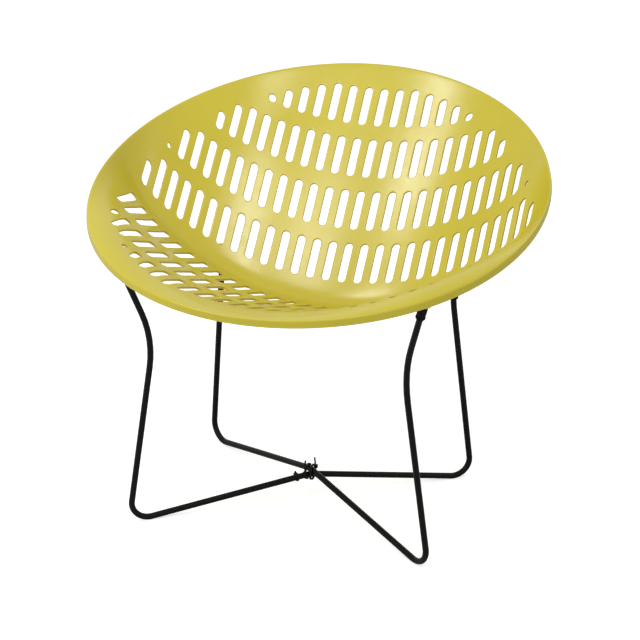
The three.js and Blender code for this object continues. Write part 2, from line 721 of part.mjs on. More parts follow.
const rodSpacing = 2 * ROD_RADIUS + FIT_GAP;
const crossingCentre = crossingApex(-1, CROSSING_HEIGHT).add(crossingApex(1, CROSSING_HEIGHT + rodSpacing));
crossingCentre.divideScalar(2);
const frontFootPlace = insideRim(FRONT_FOOT, 1, -1);
const frontRun = Math.atan2(CROSSING_Y - frontFootPlace.y, frontFootPlace.x);

// Two ties stand side by side across both rods, and a third one holds the lower rod beside them.
function makeTies() {
  const straight = rodSpacing / 2;
  const halfHeight = straight + ROD_RADIUS + TIE_SLACK;
  const reach = (TIE_SPREAD + TIE_WIDTH / 2) * Math.tan(frontRun);
  const halfWidth = ROD_RADIUS / Math.cos(frontRun) + reach + TIE_SLACK;
  const across = new THREE.Vector3(TIE_SPREAD, 0, 0);
  const ties = [];
  ties.push(makeTie(
    'tie_first',
    { halfWidth, halfHeight, straight, turn: Math.PI / 2, centre: crossingCentre.clone().sub(across) },
    { side: -1, length: FIRST_TAIL, lean: FIRST_LEAN },
  ));
  ties.push(makeTie(
    'tie_second',
    { halfWidth, halfHeight, straight, turn: Math.PI / 2, centre: crossingCentre.clone().add(across) },
    { side: 1, length: SECOND_TAIL, lean: SECOND_LEAN },
  ));
  const [frontFoot, crossing] = rodCorners(-1, CROSSING_HEIGHT).slice(2, 4);
  const besideCrossing = frontFoot.sub(crossing).setLength(SINGLE_TIE_OFFSET).add(crossing);
  ties.push(makeTie(
    'tie_third',
    { halfWidth: ROD_RADIUS + TIE_SLACK, halfHeight: ROD_RADIUS + TIE_SLACK, straight: 0,
      turn: Math.PI / 2 + frontRun, centre: besideCrossing },
    { side: 1, length: THIRD_TAIL, lean: THIRD_LEAN },
  ));
  return ties;
}

const chair = new THREE.Group();
chair.name = 'bucket_lawn_chair';
chair.add(makeBucket());
chair.add(makeRod('rod_under', -1, CROSSING_HEIGHT));
chair.add(makeRod('rod_over', 1, CROSSING_HEIGHT + rodSpacing));
for (const [corner, end] of Object.entries(rodEnds)) chair.add(makeCap(`cap_${corner}`, end));
for (const tie of makeTies()) chair.add(tie);

// The lip leans toward the back, so the chair is centred over the origin at the end.
const middle = new THREE.Box3().setFromObject(chair, true).getCenter(new THREE.Vector3());
chair.position.set(-middle.x, -middle.y, 0);

export default chair;
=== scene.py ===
import math

import bpy
import numpy as np
from mathutils import Matrix, Vector
from mathutils.geometry import delaunay_2d_cdt


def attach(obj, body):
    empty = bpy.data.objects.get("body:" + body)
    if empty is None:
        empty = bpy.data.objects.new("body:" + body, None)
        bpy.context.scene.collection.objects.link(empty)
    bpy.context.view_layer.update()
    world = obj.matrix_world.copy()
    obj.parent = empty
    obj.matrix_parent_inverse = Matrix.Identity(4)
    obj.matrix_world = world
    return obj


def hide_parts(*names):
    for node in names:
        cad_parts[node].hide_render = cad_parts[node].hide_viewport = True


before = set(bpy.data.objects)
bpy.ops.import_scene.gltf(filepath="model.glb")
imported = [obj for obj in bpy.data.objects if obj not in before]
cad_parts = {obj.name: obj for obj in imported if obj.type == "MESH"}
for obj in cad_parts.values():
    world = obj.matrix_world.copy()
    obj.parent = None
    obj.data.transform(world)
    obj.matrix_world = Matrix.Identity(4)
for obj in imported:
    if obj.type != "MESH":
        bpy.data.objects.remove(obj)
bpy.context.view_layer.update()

# Bucket. Seat and back are one moulded plastic shell, four millimetres thick. The seat plane and the back
# plane meet in a soft crease, both curl up to the sides, and the outer part bends over to a round rim that
# is higher at the back. Rows of long slots with rounded edges are moulded through it.
half_width = 0.381
half_depth = 0.3685
rim_side_height = 0.557
rim_slope = 0.2646
rim_end_lift = 0.0105
crease_y = 0.0505
crease_height = 0.3215
crease_softness = 0.009
seat_slope = 0.382
back_slope = 1.0746
side_radius = 0.442
fade_length = 0.4
blend_start = 0.82
wall = 0.004


def rim_height(y):
    """A slanted plane, plus a small lift that grows with the square of the depth."""
    return rim_side_height + rim_slope * y + rim_end_lift * (y / half_depth) ** 2


def ruled_height(x, y):
    """The larger of the seat line and the back line, joined by a soft corner, plus a round arc across the
    chair whose radius grows with the cube of the way up the back."""
    seat = crease_height + seat_slope * (crease_y - y)
    back = crease_height + back_slope * (y - crease_y)
    crease = (seat + back) / 2 + np.hypot((seat - back) / 2, crease_softness)
    radius = side_radius / (1 - (np.maximum(y - crease_y, 0) / fade_length) ** 3)
    return crease + radius - np.sqrt(radius ** 2 - x ** 2)


def top_height(x, y):
    """The ruled height, pulled to the rim's height with the square of the way from the blend's start to the
    rim."""
    share = np.maximum(np.hypot(x / half_width, y / half_depth), 1e-6)
    blend = (np.maximum(share - blend_start, 0) / (1 - blend_start)) ** 2
    return ruled_height(x, y) + blend * (rim_height(y / share) - ruled_height(x / share, y / share))


def shell_point(x, y, depth):
    """A point under the inner surface, measured along the surface's own normal."""
    step = 0.0005
    slope_x = (top_height(x + step, y) - top_height(x - step, y)) / (2 * step)
    slope_y = (top_height(x, y + step) - top_height(x, y - step)) / (2 * step)
    normal = np.stack([-slope_x, -slope_y, np.ones_like(slope_x)], -1)
    normal /= np.linalg.norm(normal, axis=-1, keepdims=True)
    return np.stack([x, y, top_height(x, y)], -1) - np.asarray(depth)[..., None] * normal


def ellipse_reach(x, wide, deep):
    """Half the depth of an ellipse at a place across it."""
    return deep * np.sqrt(np.maximum(1 - (x / wide) ** 2, 0))


# Slots stand in columns of even pitch along the curve. Rows drift a little where the sides rise, and an
# ellipse inside the rim, given by its half width and half depth, cuts the outer slots short.
slot_width = 0.014
shortest_slot = 0.005
shortest_side = 0.0006
column_pitch = 0.0285
columns_per_side = 14
first_back_row = 0.107
back_row_pitch = 0.0679
back_slot_depth = 0.050
back_limit = (0.358, 0.342)
back_drift = -0.11
first_seat_row = -0.0215
seat_row_pitch = 0.115
seat_slot_depth = 0.085
seat_limit = (0.342, 0.328)
seat_drift = 0.05
rows = [(first_back_row + back_row_pitch * row, back_slot_depth, back_limit, back_slope, back_drift)
        for row in range(4)]
rows += [(first_seat_row - seat_row_pitch * row, seat_slot_depth, seat_limit, seat_slope, seat_drift)
         for row in range(3)]
slots = []
for row_y, deep, limit, slope, drift_share in rows:
    for column in range(columns_per_side):
        arc = (column + 0.5) * column_pitch
        reach = float(ellipse_reach(side_radius * math.sin(arc / side_radius), *limit))
        front = max(row_y - deep / 2, -reach)
        back = min(row_y + deep / 2, reach)
        if back - front >= shortest_slot:
            drift = drift_share * side_radius * (1 - math.cos(arc / side_radius))
            slots += [(turn * arc, front + drift, back + drift, math.hypot(1, slope)) for turn in (1, -1)]
slot_arc, slot_front, slot_back, slot_stretch = np.array(slots).T

turns = np.linspace(0, np.pi, 8)
sides = np.linspace(0, 1, 6)[1:-1]
slot_end_x = np.concatenate([np.cos(turns), -np.ones(len(sides)), -np.cos(turns), np.ones(len(sides))])
slot_end_y = np.concatenate([np.sin(turns), np.zeros(len(sides)), -np.sin(turns), np.zeros(len(sides))])
end_share = np.concatenate([np.ones(len(turns)), 1 - sides, np.zeros(len(turns)), sides])


def slot_ring(grow):
    """The slots' outlines, grown outwards: two half circles along the curve joined by straight sides."""
    half = np.minimum(slot_width, (slot_back - slot_front) * slot_stretch - shortest_side) / 2
    low = slot_front + half / slot_stretch
    high = slot_back - half / slot_stretch
    arc = slot_arc[:, None] + (half[:, None] + grow) * slot_end_x
    beyond = (half[:, None] + grow) / slot_stretch[:, None] * slot_end_y
    return side_radius * np.sin(arc / side_radius), low[:, None] + (high - low)[:, None] * end_share + beyond


# The flat plan of the skin is triangulated between the slots, then lifted onto the surface on both faces. A
# ring of points close beside each slot keeps the skin even there.
round_edge = 0.0013
beside_edge = 0.0009
skin_share = 0.955
rim_steps = 360
fill_per_column = 4
fill_depth = 0.36
fill_pitch = 0.0075
fill_to_edge_share = 0.012
fill_to_slot = 0.0028
beside_allowance = 0.0001
rim_turns = np.linspace(-np.pi, np.pi, rim_steps + 1)[:-1]
edge_x = skin_share * half_width * np.cos(rim_turns)
edge_y = skin_share * half_depth * np.sin(rim_turns)
edge_plan = np.stack([edge_x, edge_y], 1)
ring_plan = np.stack(slot_ring(round_edge), -1).reshape(-1, 2)
beside_slots = np.stack(slot_ring(round_edge + beside_edge), -1).reshape(-1, 2)
ring_count = len(slot_end_x)
last_column = columns_per_side * fill_per_column
grid_arc, grid_y = np.meshgrid(np.arange(-last_column, last_column + 1) * column_pitch / fill_per_column,
                               np.arange(-fill_depth, fill_depth, fill_pitch))
fill = np.stack([side_radius * np.sin(grid_arc / side_radius), grid_y], -1).reshape(-1, 2)
fill_arc = grid_arc.ravel()
keep = np.hypot(fill[:, 0] / half_width, fill[:, 1] / half_depth) < skin_share - fill_to_edge_share
for arc, front, back, stretch in slots:
    half = min(slot_width, (back - front) * stretch) / 2
    beside = np.maximum(np.abs(fill_arc - arc) - beside_allowance, 0)
    before_slot = front + half / stretch - fill[:, 1]
    behind_slot = fill[:, 1] - back + half / stretch
    beyond = np.maximum(np.maximum(before_slot, behind_slot), 0)
    keep &= np.hypot(beside, beyond * stretch) > half + round_edge + fill_to_slot

plan = np.concatenate([edge_plan, ring_plan, beside_slots, fill[keep]])
borders = [(i, (i + 1) % rim_steps) for i in range(rim_steps)]
for first in range(rim_steps, rim_steps + len(ring_plan), ring_count):
    borders += [(first + i, first + (i + 1) % ring_count) for i in range(ring_count)]
spots = [Vector(spot) for spot in plan.tolist()]
_, _, flat_faces, origins, _, _ = delaunay_2d_cdt(spots, borders, [], 1, 1e-7)
source = np.array([found[0] for found in origins])
faces = source[np.array(flat_faces)]
owner = np.full(len(plan), -1)
owner[rim_steps:rim_steps + len(ring_plan)] = np.repeat(np.arange(len(slots)), ring_count)
owners = owner[faces]
in_slot = (owners[:, 0] >= 0) & (owners[:, 0] == owners[:, 1]) & (owners[:, 1] == owners[:, 2])
faces = faces[~in_slot]
side_a = plan[faces[:, 1]] - plan[faces[:, 0]]
side_b = plan[faces[:, 2]] - plan[faces[:, 0]]
backwards = side_a[:, 0] * side_b[:, 1] - side_a[:, 1] * side_b[:, 0] < 0
faces[backwards] = faces[backwards][:, ::-1]

top_skin = shell_point(plan[:, 0], plan[:, 1], np.zeros(len(plan)))
under_skin = shell_point(plan[:, 0], plan[:, 1], np.full(len(plan), wall))
vertices = [top_skin, under_skin]
# Share of painted brown shade at each point: none on the two skins, most down the walls of the slots.
wall_shade_share = [np.zeros(2 * len(plan))]
triangles = [faces, faces[:, ::-1] + len(plan)]
quads = []
placed = 2 * len(plan)


def strip(low, high):
    """Four-sided faces between two closed rings of the same count, given as rows of vertex numbers."""
    return np.stack([low, np.roll(low, -1, -1), np.roll(high, -1, -1), high], -1).reshape(-1, 4)


# Slot edges: a quarter round down from the inner face, the wall of the slot, and a quarter round out below.
quarter = np.linspace(0, np.pi / 2, 4)
grows = round_edge * (1 - np.sin(quarter))
depths = round_edge * (1 - np.cos(quarter))
steps = list(zip(grows[1:], depths[1:])) + list(zip(grows[::-1][:-1], wall - depths[::-1][:-1]))
ring_numbers = rim_steps + np.arange(len(ring_plan)).reshape(-1, ring_count)
last = ring_numbers
for grow, depth in steps:
    x, y = slot_ring(grow)
    vertices.append(shell_point(x, y, np.full(x.shape, depth)).reshape(-1, 3))
    # This ring's share of painted shade grows from the inner face down into the slot wall.
    wall_shade_share.append(np.full(x.size, 1 - grow / round_edge))
    current = placed + np.arange(x.size).reshape(x.shape)
    placed += x.size
    quads.append(strip(last, current))
    last = current
quads.append(strip(last, ring_numbers + len(plan)))

# Brim and lip: the skin runs out to the rim, rolls over into a lip that hangs down, and comes back below. The
# lip's faces lean outwards, and its lower edge is given by its way out from the rim line and down.
lip_wall = 0.003
lip_lean = 2 / 13
inner_edge_drop = 0.0131
lower_edge = ((0.0012, 0.0088), (0.0017, 0.0120), (0.0017, 0.0130), (0.0012, 0.0138), (0.0004, 0.0141),
              (-0.0004, 0.0139), (-0.0010, inner_edge_drop))
brim_shares = (0.965, 0.975)
roll_share = 0.990
slope_share = 0.992
tilt = math.atan(rim_slope)
rim_x = half_width * np.cos(rim_turns)
rim_y = half_depth * np.sin(rim_turns)
rim_line = np.stack([rim_x, rim_y, rim_height(rim_y)], -1)
sine = np.sin(rim_turns)
outward = np.stack([np.cos(rim_turns), sine * math.cos(tilt), sine * math.sin(tilt)], -1)
down = np.array([0, math.sin(tilt), -math.cos(tilt)])


def brim_ring(share, depth):
    """A ring in the skin at a share of the way out to the rim, at a depth under the inner surface."""
    return shell_point(share * rim_x, share * rim_y, np.full(rim_steps, depth))


def lip_ring(out, drop):
    """A ring beside the rim line, so far outwards in the rim's plane and so far down square to it."""
    return rim_line + np.asarray(out).reshape(-1, 1) * outward + np.asarray(drop).reshape(-1, 1) * down


# The roll is a quadratic curve with the rim line as its middle corner. The underside of the brim meets the
# inner face of the lip at a drop that depends on the slope of the brim.
roll_start = brim_ring(roll_share, 0)
roll_end = lip_ring(0.0005, 0.0040)
inner = brim_ring(slope_share, 0) - rim_line
brim_slope = (inner @ down) / -np.sum(inner * outward, 1)
meeting = (brim_slope * lip_wall + wall * np.hypot(1, brim_slope)) / (1 + brim_slope * lip_lean)
halfway = (meeting + inner_edge_drop) / 2
sections = [brim_ring(share, 0) for share in brim_shares]
sections += [(1 - share) ** 2 * roll_start + 2 * share * (1 - share) * rim_line + share ** 2 * roll_end
             for share in np.linspace(0, 1, 9)]
sections += [lip_ring(out, drop) for out, drop in lower_edge]
sections += [lip_ring(drop * lip_lean - lip_wall, drop) for drop in (halfway, meeting)]
sections += [brim_ring(share, wall) for share in brim_shares[::-1]]
last = np.arange(rim_steps)
for section in sections:
    vertices.append(section)
    wall_shade_share.append(np.zeros(rim_steps))
    current = placed + np.arange(rim_steps)
    placed += rim_steps
    quads.append(strip(current, last))
    last = current
quads.append(strip(np.arange(rim_steps) + len(plan), last))


def closed_form(rings, joined=False):
    """A closed surface through rings of equal count: four-sided faces between neighbours, and a fan over each
    end, or the last ring joined to the first. The sum of its corner products is six times its volume, and
    where that is negative all faces are turned round."""
    count, around = rings.shape[:2]
    numbers = np.arange(count * around).reshape(count, around)
    if joined:
        points = rings.reshape(-1, 3)
        fans = np.zeros((0, 3), int)
        walls = strip(numbers, np.roll(numbers, -1, 0))
    else:
        points = np.concatenate([rings.reshape(-1, 3), rings[[0, -1]].mean(1)])
        low = np.stack([np.roll(numbers[0], -1), numbers[0], np.full(around, count * around)], 1)
        high = np.stack([numbers[-1], np.roll(numbers[-1], -1), np.full(around, count * around + 1)], 1)
        fans = np.concatenate([low, high])
        walls = strip(numbers[:-1], numbers[1:])
    thirds = points[np.concatenate([fans, walls[:, :3], walls[:, [0, 2, 3]]])] - points[0]
    if np.sum(thirds[:, 0] * np.cross(thirds[:, 1], thirds[:, 2])) < 0:
        fans, walls = fans[:, ::-1], walls[:, ::-1]
    return points, fans, walls


# Sockets: round bosses under the shell, each bored for a capped rod end. The front ones run up into the wall.
# The back ones are closed on top, and a rib that leans inwards joins each to the shell.
fit_gap = 0.0003
cap_radius = 0.008
socket_wall = 0.0032
skin_bite = 0.002
mouth_edge = ((0, 0.0010), (0.0003, 0.0003), (0.0010, 0), (0.0026, 0), (socket_wall, 0.0006))
bore_radius = cap_radius + fit_gap
boss_radius = bore_radius + socket_wall
ring_turns = np.linspace(0, 2 * np.pi, 33)[:-1]

# For a front and a back leg: its knee in plan, the height of its cap's top over the knee, the cap's top in
# plan, how far that is under the inner surface, how deep it sits in the boss, and how far the boss goes on.
front_leg = ((0.212, -0.2065), 0.1458, (0.2548, -0.2427), 0.0127, 0.012, 0.040)
back_leg = ((0.2106, 0.0988), 0.051, (0.2095, 0.098), 0.0404, 0.028, 0.0045)
rod_ends = {}
for side_name, side in (("left", -1), ("right", 1)):
    for end_name, leg in (("front", front_leg), ("back", back_leg)):
        knee_spot, over_knee, top_spot, below, depth, above = leg
        top_x = side * top_spot[0]
        top_at = np.array([top_x, top_spot[1], top_height(top_x, top_spot[1]) - below])
        knee_at = np.array([side * knee_spot[0], knee_spot[1], top_at[2] - over_knee])
        heading = (top_at - knee_at) / np.linalg.norm(top_at - knee_at)
        rod_ends[end_name + "_" + side_name] = knee_at, top_at, heading, depth, depth + fit_gap + above


def beside_axis(heading, leaning):
    """Two directions square to a heading: one square to a second direction too, and one that leans to it."""
    across = np.cross(leaning, heading)
    across /= np.linalg.norm(across)
    return across, np.cross(heading, across)


def round_about(across, toward):
    """Directions all round an axis, from two that are square to it and to each other."""
    return np.cos(ring_turns)[:, None] * across + np.sin(ring_turns)[:, None] * toward


# The rib is a bar whose section is carried out from the boss. The section's lower face comes first, with
# rounded corners, and rises with the way out. Its crest follows the shell, but no higher than the boss. Only
# the back bosses, which are shorter than the rib's reach, have one.
rib_half = 0.009
rib_edge = 0.001
rib_start = 0.0112
rib_reach = 0.04
least_rib = 0.0002
rib_under = np.array([-rib_half, 0.3 * rib_edge - rib_half, rib_edge - rib_half, -rib_half / 2, 0,
                      rib_half / 2, rib_half - rib_edge, rib_half - 0.3 * rib_edge, rib_half])
rib_lateral = np.concatenate([rib_under, [rib_half, rib_half / 2, 0, -rib_half / 2, -rib_half]])
rib_lift = rib_edge * np.array([1, 0.3, 0, 0, 0, 0, 0, 0.3, 1])
rib_stations = np.array([0, 0.1, 0.3, 0.5, 0.59, 0.65, 0.75, 0.85, 0.94, 0.99])
for _, top_at, heading, depth, length in rod_ends.values():
    surface, inside = shell_point(np.full(2, top_at[0]), np.full(2, top_at[1]), np.array([0, wall]))
    normal = (surface - inside) / wall
    cut_at = surface - skin_bite * normal
    across, toward = beside_axis(heading, normal)
    mouth = top_at - depth * heading
    around = round_about(across, toward)
    foot_ring = mouth + boss_radius * around
    tall = np.minimum((cut_at - foot_ring) @ normal / (heading @ normal), length)[:, None]
    rings = [foot_ring + (tall * share) * heading for share in (1, 0.66, 0.33)]
    rings += [mouth + (boss_radius - cut) * around + rise * heading for cut, rise in mouth_edge]
    rings.append(mouth + bore_radius * around + (depth + fit_gap) * heading)
    forms = [closed_form(np.array(rings))]
    if length < rib_reach:
        start = np.sqrt(rib_start ** 2 - rib_lateral ** 2)
        out = start + rib_stations[:, None] * (rib_reach - start)
        rise = np.minimum(((cut_at - mouth) @ normal - out * (toward @ normal)) / (heading @ normal), length)
        under = out[:, :len(rib_under)] * length / 2 / rib_reach + rib_lift
        rise[:, :len(rib_under)] = np.minimum(under, rise[:, :len(rib_under)] - least_rib)
        rib = mouth + rib_lateral[:, None] * across + out[..., None] * toward + rise[..., None] * heading
        forms.append(closed_form(rib))
    for form_points, fans, walls in forms:
        vertices.append(form_points)
        wall_shade_share.append(np.zeros(len(form_points)))
        triangles.append(fans + placed)
        quads.append(walls + placed)
        placed += len(form_points)

# The shell's own middle stands this far in front of the origin, which is under the middle of the whole chair.
shell_y = -0.0027914


def mesh_piece(name, points, triangles, quads, smooth_angle=40):
    """A mesh object at the origin, from an array of points, one of triangles and one of quads, shaded smooth
    up to an angle between faces. The points are moved to where the shell stands over the origin."""
    mesh = bpy.data.meshes.new(name)
    mesh.vertices.add(len(points))
    mesh.vertices.foreach_set("co", (points + [0, shell_y, 0]).astype(np.float32).ravel())
    mesh.loops.add(triangles.size + quads.size)
    corner_numbers = np.concatenate([triangles.ravel(), quads.ravel()])
    mesh.loops.foreach_set("vertex_index", corner_numbers.astype(np.int32))
    mesh.polygons.add(len(triangles) + len(quads))
    starts = np.concatenate([np.arange(len(triangles)) * 3, triangles.size + np.arange(len(quads)) * 4])
    mesh.polygons.foreach_set("loop_start", starts.astype(np.int32))
    mesh.update(calc_edges=True)
    mesh.validate()
    mesh.shade_smooth()
    mesh.set_sharp_from_angle(angle=math.radians(smooth_angle))
    piece = bpy.data.objects.new(name, mesh)
    bpy.context.scene.collection.objects.link(piece)
    return piece


def new_finish(name):
    """A new material, with its node tree and its shader."""
    material = bpy.data.materials.new(name)
    material.use_nodes = True
    return material, material.node_tree, material.node_tree.nodes["Principled BSDF"]


def mottle(tree, scale, detail=2):
    """Noise from 0 to 1 that is fixed in space, with so many patches to the metre."""
    place = tree.nodes.new("ShaderNodeTexCoord")
    noise = tree.nodes.new("ShaderNodeTexNoise")
    noise.inputs["Scale"].default_value = scale
    noise.inputs["Detail"].default_value = detail
    tree.links.new(place.outputs["Object"], noise.inputs["Vector"])
    return noise.outputs["Fac"]


def colour_with(tree, pattern, low, high, start=0, end=1):
    """A colour that goes straight from one to another while the pattern goes from a start to an end."""
    ramp = tree.nodes.new("ShaderNodeValToRGB")
    ramp.color_ramp.elements[0].position = start
    ramp.color_ramp.elements[0].color = (*low, 1)
    ramp.color_ramp.elements[1].position = end
    ramp.color_ramp.elements[1].color = (*high, 1)
    tree.links.new(pattern, ramp.inputs["Fac"])
    return ramp.outputs["Color"]


def roughness_with(tree, shader, pattern, low, high):
    """Roughness that goes straight from low to high with the pattern."""
    level = tree.nodes.new("ShaderNodeMapRange")
    level.inputs["To Min"].default_value = low
    level.inputs["To Max"].default_value = high
    tree.links.new(pattern, level.inputs["Value"])
    tree.links.new(level.outputs["Result"], shader.inputs["Roughness"])


def bumps_with(tree, shader, pattern, strength, distance):
    """Bumps as high as the distance, in metres, where the pattern is 1, and weakened by the strength."""
    bump = tree.nodes.new("ShaderNodeBump")
    bump.inputs["Strength"].default_value = strength
    bump.inputs["Distance"].default_value = distance
    tree.links.new(pattern, bump.inputs["Height"])
    tree.links.new(bump.outputs["Normal"], shader.inputs["Normal"])


# The plastic is yellow right through, with a soft sheen. Its colour drifts a little over the shell, it is
# duller in small patches, and it has the faint unevenness of a moulding. Painted shade makes the walls of
# the slots browner.
shell_material, tree, shader = new_finish("moulded_yellow")
shader.inputs["IOR"].default_value = 1.5
yellow = colour_with(tree, mottle(tree, 5, 3), (0.60, 0.505, 0.022), (0.67, 0.565, 0.034), 0.3, 0.72)
# Painted shade: a browner colour is mixed in down the walls of the slots, where they lie in shade.
wall_shade_mask = tree.nodes.new("ShaderNodeAttribute")
wall_shade_mask.attribute_name = "painted_wall_shade"
painted_shade_mix = tree.nodes.new("ShaderNodeMix")
painted_shade_mix.data_type = "RGBA"
painted_shade_mix.inputs[7].default_value = (0.54, 0.40, 0.02, 1)
tree.links.new(wall_shade_mask.outputs["Fac"], painted_shade_mix.inputs[0])
tree.links.new(yellow, painted_shade_mix.inputs[6])
tree.links.new(painted_shade_mix.outputs[2], shader.inputs["Base Color"])
roughness_with(tree, shader, mottle(tree, 60, 4), 0.165, 0.27)
bumps_with(tree, shader, mottle(tree, 22), 0.25, 0.0008)

bucket = mesh_piece("bucket", np.concatenate(vertices), np.concatenate(triangles), np.concatenate(quads))
# The share of painted shade in the slot walls is stored on the points for the material to read.
painted_wall_shade = bucket.data.attributes.new("painted_wall_shade", "FLOAT", "POINT")
painted_wall_shade.data.foreach_set("value", np.concatenate(wall_shade_share).astype(np.float32))
bucket.data.materials.append(shell_material)
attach(bucket, "root")
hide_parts("seat_shell")

# Rods. Two black painted steel rods, each with a front leg and a back leg, a wide bend at each knee, and a
# long run between the feet. The feet are round bends with a small worn flat, and the runs rise to where the
# rods cross.
rod_radius = 0.00525
knee_bend = 0.2
foot_bend = 0.03
crossing_bend = 0.06
foot_wear = 0.0005
front_foot_spot = (0.2626, -0.2192)
back_foot_spot = (0.244, 0.1281)
crossing_y = -0.039
crossing_height = 0.0457
cap_top = 0.003


def bend(before, at, after, radius):
    """A round bend between two straight runs: points on the arc that touches both, and which way it heads at
    each, with the height of the lowest point of the whole circle."""
    enter = (at - before) / np.linalg.norm(at - before)
    leave = (after - at) / np.linalg.norm(after - at)
    turn = math.acos(float(enter @ leave))
    inward = leave - enter * math.cos(turn)
    inward /= np.linalg.norm(inward)
    start = at - enter * radius * math.tan(turn / 2)
    angle = np.linspace(0, turn, max(5, int(turn / 0.07)))[:, None]
    on_arc = start + enter * radius * np.sin(angle) + inward * radius * (1 - np.cos(angle))
    lowest = start[2] + radius * inward[2] - radius * math.hypot(enter[2], inward[2])
    return on_arc, enter * np.cos(angle) + inward * np.sin(angle), lowest


def foot_corner(knee, spot, middle):
    """The corner under a foot, moved up or down until its bend stands on the floor, less the worn flat."""
    at = np.array([*spot, 0.0])
    for _ in range(5):
        at[2] += rod_radius - foot_wear - bend(knee, at, middle, foot_bend)[2]
    return at


def sweep(path, headings, profile):
    """Rings of a closed outline carried along a path, turned as little as possible from one place to the
    next. The first is turned by a direction that no rod heads in."""
    side = np.cross(headings[0], [0.3, 0.5, 0.8])
    sides = []
    for heading in headings:
        side = side - heading * (side @ heading)
        side /= np.linalg.norm(side)
        sides.append(side)
    sides = np.array(sides)
    ups = np.cross(headings, sides)
    return path[:, None] + profile[:, 0][:, None] * sides[:, None] + profile[:, 1][:, None] * ups[:, None]


rod_material, tree, shader = new_finish("black_rod_paint")
shader.inputs["Specular IOR Level"].default_value = 0.12
coat = mottle(tree, 90, 3)
painted = colour_with(tree, coat, (0.002, 0.002, 0.002), (0.006, 0.006, 0.006))
tree.links.new(painted, shader.inputs["Base Color"])
roughness_with(tree, shader, coat, 0.18, 0.32)
bumps_with(tree, shader, coat, 0.15, 0.0003)

circle = np.linspace(0, 2 * np.pi, 25)[:-1]
rod_round = rod_radius * np.stack([np.cos(circle), np.sin(circle)], 1)
bend_radii = (knee_bend, foot_bend, crossing_bend, foot_bend, knee_bend)
crossings = {}
for name, front_name, back_name, side, height in (
        ("rod_under", "front_left", "back_right", -1, crossing_height),
        ("rod_over", "front_right", "back_left", 1, crossing_height + 2 * rod_radius + fit_gap)):
    front_knee, front_top, front_heading = rod_ends[front_name][:3]
    back_knee, back_top, back_heading = rod_ends[back_name][:3]
    middle = np.array([0, crossing_y, height])
    front_foot = foot_corner(front_knee, (side * front_foot_spot[0], front_foot_spot[1]), middle)
    back_foot = foot_corner(back_knee, (-side * back_foot_spot[0], back_foot_spot[1]), middle)
    front_tip = front_top - (cap_top + fit_gap) * front_heading
    back_tip = back_top - (cap_top + fit_gap) * back_heading
    corners = [front_tip, front_knee, front_foot, middle, back_foot, back_knee, back_tip]
    bends = [bend(*corners[i:i + 3], radius)[:2] for i, radius in enumerate(bend_radii)]
    path = np.concatenate([[front_tip]] + [arc for arc, _ in bends] + [[back_tip]])
    headings = np.concatenate([[-front_heading]] + [ways for _, ways in bends] + [[back_heading]])
    points, fans, walls = closed_form(sweep(path, headings, rod_round))
    points[:, 2] = np.maximum(points[:, 2], 0)
    rod = mesh_piece(name + "_bar", points, fans, walls)
    rod.data.materials.append(rod_material)
    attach(rod, "root")
    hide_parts(name)
    crossing_arc = bends[2][0]
    crossings[name] = crossing_arc[len(crossing_arc) // 2], front_foot, middle

# Rod caps. Black moulded plastic sleeves are pushed over the rod ends and into the sockets. They are closed
# at the top and end below in a small bead, which shows as a step on the front legs.
cap_length = 0.04
bore = rod_radius + fit_gap
cap_profile = np.array([
    (bore - 0.0006, cap_length - cap_top), (bore, cap_length - 0.0036), (bore, 0.0006), (bore + 0.0005, 0),
    (0.0072, 0), (0.0078, 0.0002), (0.008, 0.0008), (0.008, 0.0034), (0.0078, 0.0040), (0.0074, 0.0043),
    (0.0073, 0.0050), (0.0074, 0.0060), (0.0078, 0.012), (0.0079, 0.026), (0.0077, 0.0385), (0.0072, 0.0394),
    (0.0064, 0.0399), (0.0056, cap_length)])

cap_material, tree, shader = new_finish("black_cap_plastic")
shader.inputs["Specular IOR Level"].default_value = 0.06
skin = mottle(tree, 240)
moulded = colour_with(tree, skin, (0.002, 0.002, 0.002), (0.007, 0.007, 0.006))
tree.links.new(moulded, shader.inputs["Base Color"])
roughness_with(tree, shader, skin, 0.42, 0.6)
bumps_with(tree, shader, skin, 0.2, 0.0002)

for corner_name, (_, top_at, heading, _, _) in rod_ends.items():
    around = round_about(*beside_axis(heading, [0.3, 0.9, 0.1]))
    rings = top_at + cap_profile[:, :1, None] * around + (cap_profile[:, 1:, None] - cap_length) * heading
    cap = mesh_piece("sleeve_" + corner_name, *closed_form(rings))
    cap.data.materials.append(cap_material)
    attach(cap, "root")
    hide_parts("cap_" + corner_name)

# Ties. Black nylon cable ties lash the rods where they cross: a flat band drawn round the rods, a square head
# with the band's end through it, and the cut tail standing up from it. Two go round both rods and one round
# the lower rod alone.
band_width = 0.004
band_thickness = 0.0013
crossing_slack = 0.00145
single_slack = 0.0005
tie_spread = 0.0045
single_offset = 0.024
head_half = 0.0031
head_edge = 0.00273
head_stand = 0.0034
tail_width = 0.003
tail_thickness = 0.0015
tail_stand = 0.0018
upright = np.array([0, 0, 1.0])
round_band = np.array([
    (-0.5, -0.4), (-0.35, -0.496), (0.35, -0.496), (0.5, -0.4), (0.5, 0.4), (0.35, 0.496), (-0.35, 0.496),
    (-0.5, 0.4)])

tie_material, tree, shader = new_finish("black_nylon")
shader.inputs["Roughness"].default_value = 0.45
shader.inputs["Specular IOR Level"].default_value = 0.1
nylon = colour_with(tree, mottle(tree, 500), (0.003, 0.003, 0.003), (0.010, 0.010, 0.010))
tree.links.new(nylon, shader.inputs["Base Color"])


